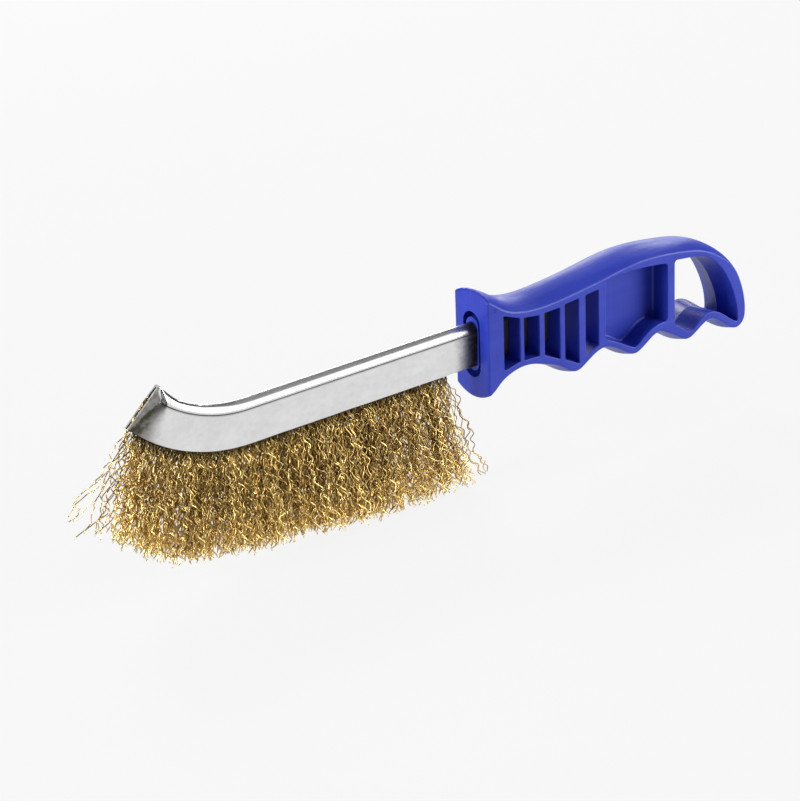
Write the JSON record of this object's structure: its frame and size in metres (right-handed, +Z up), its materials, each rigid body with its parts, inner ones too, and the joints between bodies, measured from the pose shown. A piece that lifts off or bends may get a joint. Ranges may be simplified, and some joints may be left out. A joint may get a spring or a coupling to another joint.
{
  "type": "wire brush",
  "caption": "Hand wire brush: crimped wires gripped in a folded steel channel with an upturned nose, and a moulded handle with a guard, finger bumps and a hanging eye.",
  "frame": {"origin": "under the middle of the whole brush's box, level with the lowest wire tips, on the mid-plane", "axes": "+X along the brush from the nose to the end of the handle, +Z up from the wire tips to the channel's back, +Y across the handle's width"},
  "size_m": [0.2552, 0.0164, 0.0676],
  "materials": {
    "handle_plastic": "glossy injection-moulded plastic, strong blue, with soft flow marks and a fine parting line",
    "channel_steel": "bright zinc-coated sheet steel, satin sides with faint rolling lines, burnished round back",
    "core_steel": "plain drawn steel wire",
    "crimped_wire": "brass-coated crimped steel wire, bright on the crests and brown in the hollows"
  },
  "bodies": {
    "root": {"handle": "handle_plastic", "channel": "channel_steel", "core_wire": "core_steel", "wire_bundle_01": "crimped_wire", "wire_bundle_02": "crimped_wire", "wire_bundle_03": "crimped_wire", "wire_bundle_04": "crimped_wire", "wire_bundle_05": "crimped_wire", "wire_bundle_06": "crimped_wire", "wire_bundle_07": "crimped_wire", "wire_bundle_08": "crimped_wire", "wire_bundle_09": "crimped_wire", "wire_bundle_10": "crimped_wire", "wire_bundle_11": "crimped_wire", "wire_bundle_12": "crimped_wire", "wire_bundle_13": "crimped_wire", "wire_bundle_14": "crimped_wire", "wire_bundle_15": "crimped_wire", "wire_bundle_16": "crimped_wire", "wire_bundle_17": "crimped_wire", "wire_bundle_18": "crimped_wire", "wire_bundle_19": "crimped_wire", "wire_bundle_20": "crimped_wire", "wire_bundle_21": "crimped_wire", "wire_bundle_22": "crimped_wire", "wire_bundle_23": "crimped_wire", "wire_bundle_24": "crimped_wire", "wire_bundle_25": "crimped_wire", "wire_bundle_26": "crimped_wire"}
  },
  "joints": []
}
